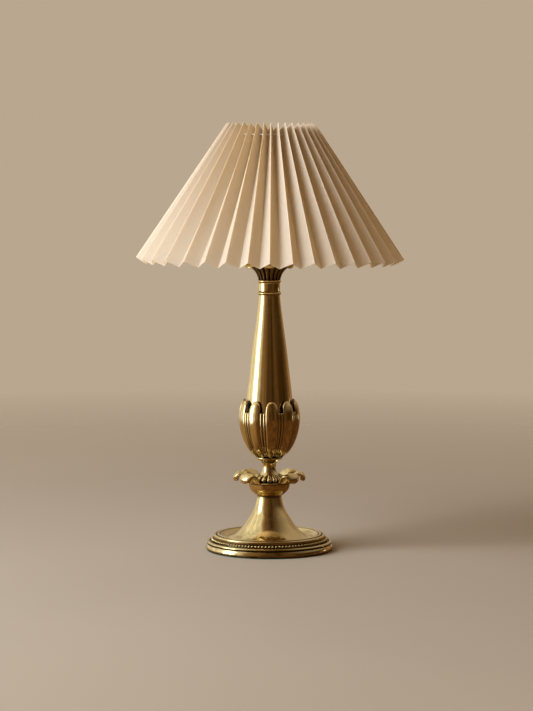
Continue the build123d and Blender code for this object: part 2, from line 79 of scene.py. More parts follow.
# The shade's cloth: how it is divided, and how far each fold strays from its place, in millimetres
CLOTH_ROWS = 28
CLOTH_COLUMNS = (0.0, 0.035, 0.1, 0.3, 0.5, 0.7, 0.9, 0.965)
FACE_WIDTH = 16.6 * MM
RIDGE_INSET = 0.15
RIM_STRAY = (-0.4, 0.4)
CROWN_STRAY = (-0.9, 0.3)
FACE_BOW = (-0.7, 0.9)
TURN_STRAY = 0.35  # degrees
# Share of each face, beside a fold, that the painted highlight covers
HIGHLIGHT_SHARE = 0.06
SHADE_PIVOT_DROP = 0.04

# How far, in degrees, the folds at each side are turned back from an even spacing
DRIFT_LEFT = 11.0
DRIFT_RIGHT = 4.5

# The thread that gathers the folds near the top
THREAD_HEIGHT = 0.476
THREAD_RING_RADIUS = 0.050
THREAD_RADIUS = 0.55 * MM
THREAD_WAVE = 0.25 * MM

# The stage round the lamp, in metres
FLOOR_RADIUS = 6.0
FLOOR_FADE = (0.5, 2.0)
DOME_RADIUS = 4.0

# Bright panes that only the metal mirrors: turn in degrees from the camera's side, distance, width,
# lower and upper edge, colour and strength
PANES = {
    "far_pane": (118, 2.6, 0.24, -0.12, 0.06, (1.0, 0.93, 0.80), 3.0),
    "window_pane": (-80, 2.0, 0.95, -0.25, 1.4, (1.0, 0.97, 0.92), 4.0),
}

# The window's light: turn, distance, width, lower and upper edge, and tint
WINDOW = (-62, 2.0, 1.7, 0.0, 2.7, (0.98, 1.0, 1.02))

# The camera, as fitted to the photograph
LENS_MM = 120.3
SENSOR_MM = 36.0
CAMERA_PLACE = (-0.0033, -2.716, 0.438)
CAMERA_PITCH = math.radians(4.5)

# The room that the brass mirrors: which tone stands at a turn, in degrees, from the camera's side
ROOM_STOPS = (
    (-180, "backdrop"), (-120, "lit_side"), (-58, "lit_side"), (-46, "half_light"),
    (-12, "dim"), (16, "dark"), (38, "dim"), (52, "dark"), (82, "dark"), (110, "dim"),
    (138, "half_light"), (180, "backdrop"),
)


# Lines and outlines

def smooth_line(points, steps):
    """Points on a smooth curve through the given ones, with steps of them to each stretch."""
    ends = [[2 * a - b for a, b in zip(points[0], points[1])],
            [2 * a - b for a, b in zip(points[-1], points[-2])]]
    knots = [ends[0], *points, ends[1]]
    line = [tuple(points[0])]
    for i in range(1, len(knots) - 2):
        p0, p1, p2, p3 = knots[i - 1:i + 3]
        for k in range(1, steps + 1):
            t = k / steps
            line.append(tuple(
                0.5 * (2 * b + (c - a) * t + (2 * a - 5 * b + 4 * c - d) * t * t
                       + (3 * b - a - 3 * c + d) * t ** 3)
                for a, b, c, d in zip(p0, p1, p2, p3)
            ))
    return line


def arc_line(start, middle, end, steps):
    """Points on the round arc from start through middle to end."""
    (ax, ay), (bx, by), (cx, cy) = start, middle, end
    d = 2 * (ax * (by - cy) + bx * (cy - ay) + cx * (ay - by))
    sa, sb, sc = ax * ax + ay * ay, bx * bx + by * by, cx * cx + cy * cy
    ux = (sa * (by - cy) + sb * (cy - ay) + sc * (ay - by)) / d
    uy = (sa * (cx - bx) + sb * (ax - cx) + sc * (bx - ax)) / d
    radius = math.hypot(ax - ux, ay - uy)
    first = math.atan2(ay - uy, ax - ux)
    turn_to_middle = (math.atan2(by - uy, bx - ux) - first + math.pi) % FULL_TURN - math.pi
    turn_to_end = (math.atan2(cy - uy, cx - ux) - first) % FULL_TURN
    if turn_to_middle < 0:
        turn_to_end -= FULL_TURN
    return [(ux + radius * math.cos(first + turn_to_end * k / steps),
             uy + radius * math.sin(first + turn_to_end * k / steps)) for k in range(steps + 1)]


def joined(*stretches):
    """One line out of several, without the doubled points where they meet."""
    line = []
    for stretch in stretches:
        for point in stretch:
            if not line or math.dist(line[-1], point) > 1e-4:
                line.append(tuple(point))
    return line


# Modelling, one tool at a time

def start_clean():
    """Leaves edit mode and deselects everything, so that a new piece is shaped alone."""
    if bpy.context.object is not None and bpy.context.object.mode != "OBJECT":
        bpy.ops.object.mode_set(mode="OBJECT")
    bpy.ops.object.select_all(action="DESELECT")


def open_up():
    """Enters edit mode with the whole of the active piece selected."""
    bpy.ops.object.mode_set(mode="EDIT")
    bpy.ops.mesh.select_all(action="SELECT")


def bring_in(name, data):
    """A new object made from its data, selected alone."""
    thing = bpy.data.objects.new(name, data)
    bpy.context.collection.objects.link(thing)
    start_clean()
    thing.select_set(True)
    bpy.context.view_layer.objects.active = thing
    return thing


def draw_line(points):
    """A new mesh with one line of edges through points, left in edit mode."""
    start_clean()
    bpy.ops.mesh.primitive_plane_add(size=MM, location=points[0])
    open_up()
    bpy.ops.mesh.merge(type="CENTER")
    for here, there in zip(points, points[1:]):
        step = [b - a for a, b in zip(here, there)]
        bpy.ops.mesh.extrude_region_move(TRANSFORM_OT_translate={"value": step})


def close_up():
    """Merges doubled corners, turns the faces outwards and leaves edit mode."""
    bpy.ops.mesh.select_all(action="SELECT")
    bpy.ops.mesh.remove_doubles(threshold=MERGE_GAP)
    bpy.ops.mesh.normals_make_consistent(inside=False)
    bpy.ops.object.mode_set(mode="OBJECT")


def turn_on_lathe(profile, steps=0):
    """A piece turned about the lamp's axis from a closed profile of (radius, height) in mm."""
    draw_line([(r * MM, 0, z * MM) for r, z in [*profile, profile[0]]])
    bpy.ops.mesh.select_all(action="SELECT")
    bpy.ops.mesh.spin(steps=steps or bpy.context.scene.lamp_stem.turn_steps, angle=FULL_TURN,
                      center=(0, 0, 0), axis=(0, 0, 1))
    close_up()


def turn_round_bore(low, high, *stretches):
    """A turned piece with the tube's bore through it, its stretches running from low to high."""
    turn_on_lathe(joined([(BORE, low)], *stretches, [(BORE, high)]))


def place_section(angle, width, depth, centre, move):
    """Turns the selected ring flat by angle, sizes it, and moves it."""
    bpy.ops.transform.rotate(value=angle[0], orient_axis="X", center_override=centre)
    bpy.ops.transform.resize(value=(width, depth, 1), center_override=centre)
    bpy.ops.transform.rotate(value=angle[1], orient_axis="X", center_override=centre)
    bpy.ops.transform.translate(value=move)


def draw_limb(stations, steps, sides):
    """A closed limb at the lamp's front: a flattened ring carried along a path; gives the piece.

    A station is (radius, height, half width, half depth) in mm.
    """
    path = smooth_line(stations, steps)
    leans = []
    for i in range(len(path)):
        before, after = path[max(i - 1, 0)], path[min(i + 1, len(path) - 1)]
        leans.append(math.atan2(after[0] - before[0], after[1] - before[1]))
    start_clean()
    bpy.ops.mesh.primitive_circle_add(vertices=sides, radius=MM, fill_type="NGON")
    open_up()
    here, lean, size = Vector((0, 0, 0)), 0.0, (1.0, 1.0)
    for i, (radius, height, width, depth) in enumerate(path):
        if i:
            bpy.ops.mesh.extrude_region_move(TRANSFORM_OT_translate={"value": (0, 0, 0)})
        there = Vector((0, -radius * MM, height * MM))
        place_section((lean, -leans[i]), width / size[0], depth / size[1], here, there - here)
        here, lean, size = there, leans[i], (width, depth)
    bpy.ops.mesh.merge(type="CENTER")
    close_up()
    return bpy.context.object


def repeat_at(turns):
    """Copies the active piece's mesh to each of the turns about the lamp's axis."""
    open_up()
    bpy.ops.transform.rotate(value=turns[0], orient_axis="Z", center_override=(0, 0, 0))
    for last, turn in zip(turns, turns[1:]):
        bpy.ops.mesh.duplicate()
        bpy.ops.transform.rotate(value=turn - last, orient_axis="Z", center_override=(0, 0, 0))
    bpy.ops.object.mode_set(mode="OBJECT")


def repeat_round(count, first_turn=0.0):
    """Copies the active piece's mesh round the lamp's axis, at equal turns."""
    repeat_at([first_turn + FULL_TURN * i / count for i in range(count)])


def join_up(*pieces):
    """Joins the pieces, and the active one, into the first."""
    pieces = [*pieces, bpy.context.object]
    start_clean()
    for piece in pieces:
        piece.select_set(True)
    bpy.context.view_layer.objects.active = pieces[0]
    bpy.ops.object.join()


def set_up(name, material, body="root", replaced=(), crease=35.0):
    """Names the active piece, finishes it and ties it to the frame."""
    piece = bpy.context.object
    bpy.ops.object.select_all(action="DESELECT")
    piece.select_set(True)
    bpy.ops.object.transform_apply(location=True, rotation=True, scale=True)
    bpy.ops.object.shade_smooth_by_angle(angle=math.radians(crease))
    piece.name = piece.data.name = name
    piece.data.materials.clear()
    piece.data.materials.append(material)
    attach(piece, body)
    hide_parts(*replaced)
    return piece


def set_up_brass(name, look, node, crease=35.0):
    """Sets up a piece of the brass stack in place of its node."""
    set_up(name, finish(look), replaced=[node], crease=crease)


# Materials

class Board:
    """The nodes of a new material, or of a new world, added and linked by short calls."""

    def __init__(self, name, kind="materials", end="Material Output"):
        self.owner = getattr(bpy.data, kind).new(name)
        self.owner.use_nodes = True
        self.nodes, self.links = self.owner.node_tree.nodes, self.owner.node_tree.links
        self.shader = self.nodes.get("Principled BSDF")
        self.end = self.nodes[end]

    def add(self, kind, inputs=(), **settings):
        """Adds a node; an input takes a value, or an output socket that is linked to it."""
        node = self.nodes.new(kind)
        for key, value in settings.items():
            setattr(node, key, value)
        for key, value in dict(inputs).items():
            self.put(node, key, value)
        return node

    def put(self, node, key, value):
        """Sets or links one input of a node."""
        if isinstance(value, bpy.types.NodeSocket):
            self.links.new(value, node.inputs[key])
        else:
            node.inputs[key].default_value = value

    def surface(self, **inputs):
        """Sets or links the main shader's inputs."""
        for key, value in inputs.items():
            self.put(self.shader, key.replace("_", " "), value)

    def place(self, scale=(1, 1, 1)):
        """Object coordinates, stretched by scale."""
        where = self.add("ShaderNodeTexCoord").outputs["Object"]
        return self.add("ShaderNodeMapping", {"Vector": where, "Scale": scale}).outputs[0]

    def noise(self, scale, detail=3.0, stretch=(1, 1, 1), rough=0.5):
        """A cloudy pattern in Object coordinates, scale to the metre."""
        return self.add("ShaderNodeTexNoise", {
            "Vector": self.place(stretch), "Scale": scale, "Detail": detail, "Roughness": rough,
        }).outputs[0]

    def ramp(self, value, low, high, from_value=0.0, to_value=1.0):
        """value spread from low..high to from_value..to_value, and held at the ends."""
        return self.add("ShaderNodeMapRange", {
            "Value": value, "From Min": low, "From Max": high,
            "To Min": from_value, "To Max": to_value,
        }).outputs[0]

    def blend(self, share, first, second):
        """A colour between two."""
        node = self.add("ShaderNodeMix", data_type="RGBA")
        self.put(node, 0, share)
        self.put(node, 6, first)
        self.put(node, 7, second)
        return node.outputs[2]

    def math(self, operation, first, second=0.0):
        """One sum on two values."""
        node = self.add("ShaderNodeMath", operation=operation)
        self.put(node, 0, first)
        self.put(node, 1, second)
        return node.outputs[0]

    def show(self, shader):
        """Makes shader what the piece, or the world, shows."""
        self.put(self.end, 0, shader)

    def show_mix(self, share, first, second):
        """Shows a mix of two shaders."""
        self.show(self.add("ShaderNodeMixShader", {0: share, 1: first, 2: second}).outputs[0])

    def show_glow(self, tone, strength=1.0):
        """Shows a plain glow."""
        self.show(self.add("ShaderNodeEmission", {"Color": tone, "Strength": strength}).outputs[0])

    def bump(self, height, depth, strength=1.0, under=None):
        """A raised pattern, depth in metres."""
        inputs = {"Height": height, "Distance": depth, "Strength": strength}
        if under is not None:
            inputs["Normal"] = under
        return self.add("ShaderNodeBump", inputs).outputs[0]


def colour(value, share=1.0):
    """A colour as four numbers, darkened to a share of itself."""
    return (value[0] * share, value[1] * share, value[2] * share, 1.0)


def old_brass(board, polish, lines, clean):
    """Polished brass with cloudy handling marks, fine lines and brown tarnish in its hollows.

    clean is how open to the room a place must be for the polishing cloth to have reached it; on the
    capital and the drip pan it is set high, so that the dark also stands in as painted shade from
    the lampshade above.
    """
    tones = bpy.context.scene.lamp_finishes
    bright, dark = tones.brass, tones.tarnish
    hollow = board.add("ShaderNodeAmbientOcclusion", {"Distance": 4 * MM}, samples=8).outputs["AO"]
    cloud = board.noise(38.0, detail=5.0, rough=0.62)
    speck = board.noise(900.0, detail=2.0)
    # The dark share: tarnish in the hollows; where clean is set high it spreads further as painted
    # shade.
    tarnish_and_shade = board.ramp(board.math("ADD", hollow, board.math("MULTIPLY", cloud, 0.35)),
                       clean - 0.3, clean, 1.0, 0.0)
    worn = board.blend(board.ramp(cloud, 0.42, 0.72, 0.0, 0.5), colour(bright),
                       colour(bright, 0.72))
    spotted = board.blend(board.ramp(speck, 0.66, 0.8, 0.0, 0.35), worn, colour(dark, 2.0))
    base = board.blend(tarnish_and_shade, spotted, colour(dark))
    smear = board.noise(120.0, detail=4.0)
    rough = board.math("ADD", board.ramp(smear, 0.3, 0.75, polish, polish + 0.1),
                       board.math("MULTIPLY", tarnish_and_shade, 0.3))
    turned = board.noise(420.0, detail=2.0, stretch=(0.15, 0.15, 6.0))
    bumps = board.bump(turned, lines * MM, 0.4)
    bumps = board.bump(board.noise(160.0, detail=3.0), 0.05 * MM, 0.35, under=bumps)
    board.surface(Base_Color=base, Metallic=1.0, Roughness=rough, Normal=bumps)


def plain_metal(board, base, polish, grain, metallic=1.0):
    """A worked metal: uneven tone, smears in its gloss and a fine grain."""
    cloud = board.noise(60.0, detail=4.0)
    fine = board.noise(1400.0, detail=2.0)
    tone = board.blend(board.ramp(cloud, 0.35, 0.7, 0.0, 0.6), colour(base), colour(base, 0.7))
    board.surface(Base_Color=tone, Metallic=metallic,
                  Roughness=board.ramp(fine, 0.3, 0.7, polish, polish + 0.14),
                  Normal=board.bump(fine, grain * MM, 0.5))


def moulded(board, base, polish):
    """Moulded resin with a faint flow pattern and a light orange-peel surface."""
    flow = board.noise(90.0, detail=6.0, stretch=(1, 1, 0.4))
    peel = board.noise(1100.0, detail=1.0)
    tone = board.blend(board.ramp(flow, 0.4, 0.65), colour(base), colour(base, 1.9))
    board.surface(Base_Color=tone, Roughness=board.ramp(flow, 0.3, 0.7, polish, polish + 0.12),
                  Normal=board.bump(peel, 0.03 * MM, 0.4))


def pressed_felt(board, base):
    """Green wool felt with matted fibres."""
    fibre = board.noise(2600.0, detail=4.0, stretch=(1, 1, 0.3))
    cloud = board.noise(70.0, detail=3.0)
    tone = board.blend(board.ramp(fibre, 0.3, 0.7), colour(base, 0.6), colour(base, 1.5))
    tone = board.blend(board.ramp(cloud, 0.4, 0.7, 0.0, 0.4), tone, colour(base, 0.8))
    board.surface(Base_Color=tone, Roughness=0.95, Normal=board.bump(fibre, 0.25 * MM, 0.8),
                  Sheen_Weight=0.5, Sheen_Roughness=0.5)


def pleated_cloth(board, base):
    """Ivory cloth on a card backing: a fine weave, slubs, and the folds painted paler, a painted
    highlight where they catch the light, with a little wear.
    """
    where = board.add("ShaderNodeUVMap", uv_map="Cloth").outputs[0]
    fold = board.add("ShaderNodeAttribute", attribute_name="fold").outputs["Fac"]
    weft, warp = (board.add("ShaderNodeTexWave", {
        "Vector": where, "Scale": 460.0, "Distortion": 0.6, "Detail": 1.0, "Detail Scale": 2.0,
    }, bands_direction=way).outputs["Fac"] for way in "YX")
    weave = board.math("MAXIMUM", weft, warp)
    slub_place = board.add("ShaderNodeMapping", {"Vector": where, "Scale": (1, 14, 1)}).outputs[0]
    slub = board.add("ShaderNodeTexNoise", {"Vector": slub_place, "Scale": 90.0,
                                            "Detail": 3.0}).outputs[0]
    cloud = board.noise(22.0, detail=3.0)
    tone = board.blend(board.ramp(cloud, 0.35, 0.7), colour(base), colour(base, 0.94))
    tone = board.blend(board.ramp(slub, 0.58, 0.75, 0.0, 0.35), tone, colour(base, 0.86))
    tone = board.blend(board.math("MULTIPLY", board.ramp(weave, 0.5, 1.0), 0.25),
                       colour(base, 0.9), tone)
    # painted highlight: paler cloth along the folds, where they catch the light, with a little wear
    tone = board.blend(board.math("MULTIPLY", fold, 0.8), tone, (0.97, 0.95, 0.90, 1.0))
    bumps = board.bump(weave, 0.04 * MM, 0.35)
    bumps = board.bump(slub, 0.06 * MM, 0.3, under=bumps)
    board.surface(Base_Color=tone, Roughness=board.ramp(weave, 0.0, 1.0, 0.86, 0.74), Normal=bumps,
                  Sheen_Weight=0.08)
    through = board.add("ShaderNodeBsdfTranslucent", {
        "Color": board.blend(0.6, tone, (0.88, 0.74, 0.50, 1.0)), "Normal": bumps,
    }).outputs[0]
    board.show_mix(board.ramp(weave, 0.0, 1.0, 0.70, 0.62), board.shader.outputs[0], through)


def twisted_thread(board, base):
    """Cotton thread with a tight twist."""
    twist = board.add("ShaderNodeTexWave", {"Vector": board.place(), "Scale": 420.0,
                                            "Distortion": 2.0},
                      bands_direction="DIAGONAL").outputs["Fac"]
    board.surface(Base_Color=board.blend(twist, colour(base, 0.75), colour(base)), Roughness=0.85,
                  Normal=board.bump(twist, 0.08 * MM, 0.6))


def clear_glass(board, tint):
    """Clear blown glass with faint ripples."""
    ripple = board.noise(60.0, detail=2.0)
    board.surface(Base_Color=board.blend(ripple, colour(tint), colour(tint, 0.97)),
                  Roughness=board.ramp(ripple, 0.3, 0.7, 0.0, 0.03),
                  Normal=board.bump(ripple, 0.05 * MM, 0.1), Transmission_Weight=1.0, IOR=1.45)


def finish(name):
    """The material of one of the record's finishes, made when it's first asked for."""
    made = bpy.data.materials.get(name)
    if made is not None:
        return made
    tones = bpy.context.scene.lamp_finishes
    recipe, *values = {
        "aged_brass": (old_brass, 0.10, 0.02, 1.12),
        "turned_brass": (old_brass, 0.08, 0.05, 1.06),
        "foot_brass": (old_brass, 0.09, 0.03, 1.18),
        # painted shade: the drip pan's brass darkened past its tarnish, standing for the shadow
        # under the lampshade
        "pan_brass": (old_brass, 0.12, 0.02, 1.22),
        # painted shade: the capital's brass darkened past its tarnish, standing for the lampshade's
        # shadow over it
        "deep_brass": (old_brass, 0.12, 0.02, 1.34),
        "bead_brass": (old_brass, 0.16, 0.02, 0.55),
        "green_felt": (pressed_felt, tones.felt),
        "pleated_ivory": (pleated_cloth, tones.cloth),
        "cotton_thread": (twisted_thread, tones.thread),
        "sheet_steel": (plain_metal, (0.42, 0.42, 0.41), 0.38, 0.03),
        "cast_iron": (plain_metal, (0.07, 0.065, 0.06), 0.62, 0.2, 0.6),
        "plated_steel": (plain_metal, (0.56, 0.55, 0.52), 0.28, 0.02),
        "holder_brass": (plain_metal, (0.78, 0.58, 0.28), 0.22, 0.02),
        "thin_brass": (plain_metal, (0.74, 0.52, 0.22), 0.3, 0.02),
        "wire_steel": (plain_metal, (0.62, 0.60, 0.55), 0.3, 0.02),
        "bulb_metal": (plain_metal, (0.66, 0.65, 0.63), 0.25, 0.02),
        "solder": (plain_metal, (0.50, 0.50, 0.52), 0.35, 0.05),
        "filament": (plain_metal, (0.22, 0.21, 0.20), 0.45, 0.01),
        "dark_resin": (moulded, (0.020, 0.014, 0.010), 0.28),
        "bush_resin": (moulded, (0.035, 0.022, 0.014), 0.35),
        "clear_glass": (clear_glass, (0.98, 0.98, 0.97)),
        "inner_glass": (clear_glass, (0.93, 0.95, 0.93)),
    }[name]
    board = Board(name)
    recipe(board, *values)
    return board.owner


# What a user would change

class StemSizes(PropertyGroup):
    turn_steps: IntProperty(name="Turning steps", default=160, min=24,
                            description="Faces round each turned piece")
    beads: IntProperty(name="Beads", default=106, min=12, description="Beads on the foot")
    petal_turn: FloatProperty(name="Petal turn", default=math.radians(45), subtype="ANGLE",
                              description="Turn from one petal of the collar to the next")
    pan_petals: IntProperty(name="Pan petals", default=8, min=3,
                            description="Petals of the drip pan")
    lobes: IntProperty(name="Lobes", default=18, min=3, description="Lobes round the spindle")
    leaves: IntProperty(name="Leaves", default=10, min=3, description="Long leaves of the calyx")
    ribs: IntProperty(name="Ribs", default=18, min=3, description="Ribs of the capital")
    leaf_turn: FloatProperty(name="Leaf turn", default=math.radians(5), subtype="ANGLE",
                             description="How far the calyx is turned from the front")
    rib_turn: FloatProperty(name="Rib turn", default=math.radians(3.2), subtype="ANGLE",
                            description="Turn of the calyx's ribs from the middle of their gap")


class ShadeSizes(PropertyGroup):
    pleats: IntProperty(name="Pleats", default=40, min=8, description="Pleats round the shade")
    bottom_radius: FloatProperty(name="Bottom radius", default=0.1535, unit="LENGTH",
                                 description="Radius over the folds at the lower edge")
    top_radius: FloatProperty(name="Top radius", default=0.0505, unit="LENGTH",
                              description="Radius over the folds at the upper edge")
    bottom_height: FloatProperty(name="Bottom height", default=0.336, unit="LENGTH",
                                 description="Height of the lower edge's outer folds")
    top_height: FloatProperty(name="Top height", default=0.4897, unit="LENGTH",
                              description="Height of the upper edge's outer folds")
    bottom_depth: FloatProperty(name="Bottom fold depth", default=0.0115, unit="LENGTH",
                                description="Depth of the folds at the lower edge")
    top_depth: FloatProperty(name="Top fold depth", default=0.016, unit="LENGTH",
                             description="Depth of the folds at the upper edge")
    thickness: FloatProperty(name="Thickness", default=0.0005, unit="LENGTH",
                             description="Thickness of the backed cloth")
    shift: FloatProperty(name="Shift", default=0.0016, unit="LENGTH",
                         description="How far the shade sits to the right of the stem")
    lean: FloatProperty(name="Lean", default=math.radians(0.5), subtype="ANGLE",
                        description="How far the shade sits crooked, its left side up")


class Finishes(PropertyGroup):
    brass: FloatVectorProperty(name="Brass", default=(0.84, 0.70, 0.38), subtype="COLOR",
                               description="Colour of the polished brass")
    # Also the dark of the painted shade on the capital and the drip pan.
    tarnish: FloatVectorProperty(name="Tarnish", default=(0.036, 0.017, 0.006), subtype="COLOR",
                                 description="Colour of the brass's hollows")
    cloth: FloatVectorProperty(name="Cloth", default=(0.90, 0.86, 0.785), subtype="COLOR",
                               description="Colour of the shade")
    thread: FloatVectorProperty(name="Thread", default=(0.85, 0.86, 0.88), subtype="COLOR",
                                description="Colour of the gathering thread")
    felt: FloatVectorProperty(name="Felt", default=(0.012, 0.055, 0.030), subtype="COLOR",
                              description="Colour of the felt under the foot")


class StageSettings(PropertyGroup):
    floor: FloatVectorProperty(name="Floor", default=(0.41, 0.37, 0.31), subtype="COLOR",
                               description="Colour of the floor")
    backdrop: FloatVectorProperty(name="Backdrop", default=(0.49, 0.385, 0.275),
                                  subtype="COLOR", description="Colour seen behind the lamp")
    room: FloatVectorProperty(name="Room light", default=(0.31, 0.178, 0.08), subtype="COLOR",
                              description="Soft light from all round")
    lit_side: FloatVectorProperty(name="Lit side", default=(1.0, 0.92, 0.76), subtype="COLOR",
                                  description="Colour mirrored beside the window")
    half_light: FloatVectorProperty(name="Half light", default=(0.30, 0.17, 0.075),
                                    subtype="COLOR", description="Colour mirrored past the window")
    dim: FloatVectorProperty(name="Dim", default=(0.12, 0.064, 0.027), subtype="COLOR",
                             description="Colour mirrored of the dim room")
    dark: FloatVectorProperty(name="Dark", default=(0.046, 0.021, 0.004), subtype="COLOR",
                              description="Colour mirrored of the room's darkest parts")
    ceiling: FloatVectorProperty(name="Ceiling", default=(0.36, 0.22, 0.11), subtype="COLOR",
                                 description="Colour mirrored from above")
    below: FloatVectorProperty(name="Below", default=(0.11, 0.046, 0.013), subtype="COLOR",
                               description="Colour mirrored from below")
    lit_below: FloatVectorProperty(name="Lit below", default=(0.34, 0.20, 0.09), subtype="COLOR",
                                   description="Colour mirrored from below, nearest the window")
    window_power: FloatProperty(name="Window power", default=122.0, min=0.0,
                                description="Strength of the soft window light, in watts")


# Pieces

class LAMP_OT_felt(Operator):
    """Adds the felt pad with its rounded, pressed edge"""
    bl_idname = "lamp.add_felt"
    bl_label = "Felt Pad"

    def execute(self, context):
        edge = arc_line((71.6, 0.0), (72.0, 0.5), (71.6, FELT_TOP), 8)
        turn_on_lathe([(0, 0), (40, 0), *edge, (40, FELT_TOP), (0, FELT_TOP)])
        set_up("felt_underlay", finish("green_felt"), replaced=["felt_pad"])
        return {"FINISHED"}


class LAMP_OT_foot(Operator):
    """Turns the foot: a stepped rim, a dish and a trumpet that rises out of it"""
    bl_idname = "lamp.add_foot"
    bl_label = "Foot"

    def execute(self, context):
        trumpet = smooth_line([(13.8, FOOT_TOP), (15.2, 56.5), (17.1, 49.5), (20.1, 43.1),
                               (24.1, 36.8), (28.5, 30.0), (33.2, 23.9), (39.0, 18.7),
                               (45.5, 15.4), (50.5, 15.1), (55.0, 17.8)], 6)
        lip = arc_line((55.0, 17.8), (56.2, 18.6), (57.0, 17.9), 6)
        inner_bead = arc_line((57.2, 17.0), (58.9, 19.3), (60.4, 17.2), 10)
        step_bead = arc_line((60.6, 16.3), (62.7, 18.3), (64.1, 15.9), 10)
        step = [(64.1, 11.1), (64.4, 10.8), (67.7, 10.8), (68.0, 10.5), (68.2, 9.6)]
        outer_bead = arc_line((68.2, 9.6), (70.1, 11.0), (71.6, 9.3), 10)
        groove = [(70.6, 8.3), (70.4, 8.0), (70.7, 7.7)]
        band = arc_line((71.5, 7.5), (72.75, 3.5), (72.4, FELT_TOP), 12)
        under = [(68.8, FELT_TOP), (68.8, 6.6), (62.6, 9.0), (49.0, 9.0)]
        inside = smooth_line([(49.0, 9.0), (38.0, 15.0), (27.0, 27.6), (17.6, 41.0),
                              (11.8, 53.0), (BORE, 55.5)], 3)
        turn_round_bore(FOOT_TOP, 55.5, trumpet, lip, inner_bead, step_bead, step, outer_bead,
                        groove, band, under, inside)
        set_up_brass("foot_casting", "foot_brass", "foot")
        return {"FINISHED"}


class LAMP_OT_beads(Operator):
    """Sets the row of beads on the step of the foot, on its thin wire"""
    bl_idname = "lamp.add_beads"
    bl_label = "Bead Ring"

    def execute(self, context):
        start_clean()
        bpy.ops.mesh.primitive_ico_sphere_add(
            subdivisions=2, radius=BEAD_RADIUS * MM,
            location=(0, -BEAD_RING_RADIUS * MM, BEAD_HEIGHT * MM))
        bead = bpy.context.object
        open_up()
        bpy.ops.transform.resize(value=(1.0, BEAD_STRETCH, 1.0), center_override=bead.location)
        repeat_round(context.scene.lamp_stem.beads)
        wire = [(BEAD_RING_RADIUS + BEAD_WIRE_RADIUS * math.cos(a),
                 BEAD_WIRE_HEIGHT + BEAD_WIRE_RADIUS * math.sin(a))
                for a in (FULL_TURN * k / 10 for k in range(10))]
        turn_on_lathe(wire, 2 * context.scene.lamp_stem.beads)
        join_up(bead)
        set_up_brass("bead_row", "bead_brass", "bead_ring", crease=60.0)
        return {"FINISHED"}


class LAMP_OT_bowl(Operator):
    """Turns the half-round bowl on top of the trumpet"""
    bl_idname = "lamp.add_bowl"
    bl_label = "Lower Bowl"

    def execute(self, context):
        outside = smooth_line([(13.8, FOOT_TOP), (16.4, 64.4), (18.8, 66.4), (21.0, 68.8),
                               (22.7, 71.8), (23.8, BOWL_TOP)], 5)
        inside = smooth_line([(21.8, BOWL_TOP), (20.9, 73.0), (19.4, 70.4), (17.2, 68.0),
                              (14.6, 66.2)], 3)
        turn_round_bore(FOOT_TOP, 66.2, outside, inside)
        set_up_brass("lower_bowl_turning", "turned_brass", "lower_bowl")
        return {"FINISHED"}


class LAMP_OT_petals(Operator):
    """Adds the collar: three thick drooping petals on each side of a round plate"""
    bl_idname = "lamp.add_petals"
    bl_label = "Petal Collar"

    def execute(self, context):
        petal = [(19.0, 78.1, 5.5, 0.8), (23.2, 79.4, 8.6, 1.7), (26.6, 82.6, 10.4, 2.5),
                 (30.0, 86.0, 11.2, 2.9), (33.4, 88.0, 11.2, 3.1), (36.4, 87.2, 10.2, 3.2),
                 (38.3, 84.8, 8.8, 3.2), (38.3, 82.6, 7.4, 3.2), (38.0, 81.0, 6.0, 2.8),
                 (37.9, 80.0, 4.0, 2.0), (37.8, 79.4, 1.5, 0.8)]
        petals = draw_limb(petal, 3, 32)
        side = [context.scene.lamp_stem.petal_turn * k for k in (1, 2, 3)]
        repeat_at([-turn for turn in reversed(side)] + side)
        rim = arc_line((23.2, BOWL_TOP), (23.8, 78.0), (23.2, COLLAR_TOP), 8)
        turn_round_bore(BOWL_TOP, COLLAR_TOP, rim)
        join_up(petals)
        set_up_brass("petal_collar_casting", "aged_brass", "petal_collar", crease=50.0)
        return {"FINISHED"}


class LAMP_OT_spindle(Operator):
    """Turns the neck spindle, its foot of small lobes and the ring above it"""
    bl_idname = "lamp.add_spindle"
    bl_label = "Neck Spindle and Ring"

    def execute(self, context):
        lobe = [(16.4, 79.2, 0.8, 0.6), (18.3, 79.5, 2.4, 1.8), (18.8, 80.9, 2.9, 2.3),
                (17.9, 82.8, 2.8, 2.1), (16.0, 84.6, 2.3, 1.6), (13.8, 86.1, 1.6, 1.0),
                (11.8, 87.4, 0.6, 0.3)]
        lobes = draw_limb(lobe, 4, 16)
        repeat_round(context.scene.lamp_stem.lobes)
        waist = smooth_line([(18.0, COLLAR_TOP), (17.2, 81.6), (14.4, 84.4), (11.2, 87.0),
                             (8.8, 90.2), (7.6, 94.0), (7.5, 97.4), (8.4, 100.8),
                             (10.6, 103.0), (13.4, NECK_TOP)], 6)
        turn_round_bore(COLLAR_TOP, NECK_TOP, waist)
        join_up(lobes)
        set_up_brass("neck_spindle_casting", "aged_brass", "neck_spindle", crease=50.0)
        edge = arc_line((13.6, NECK_TOP), (15.1, 106.4), (13.6, NECK_RING_TOP), 12)
        turn_round_bore(NECK_TOP, NECK_RING_TOP, edge)
        set_up_brass("neck_ring_turning", "turned_brass", "neck_ring")
        return {"FINISHED"}


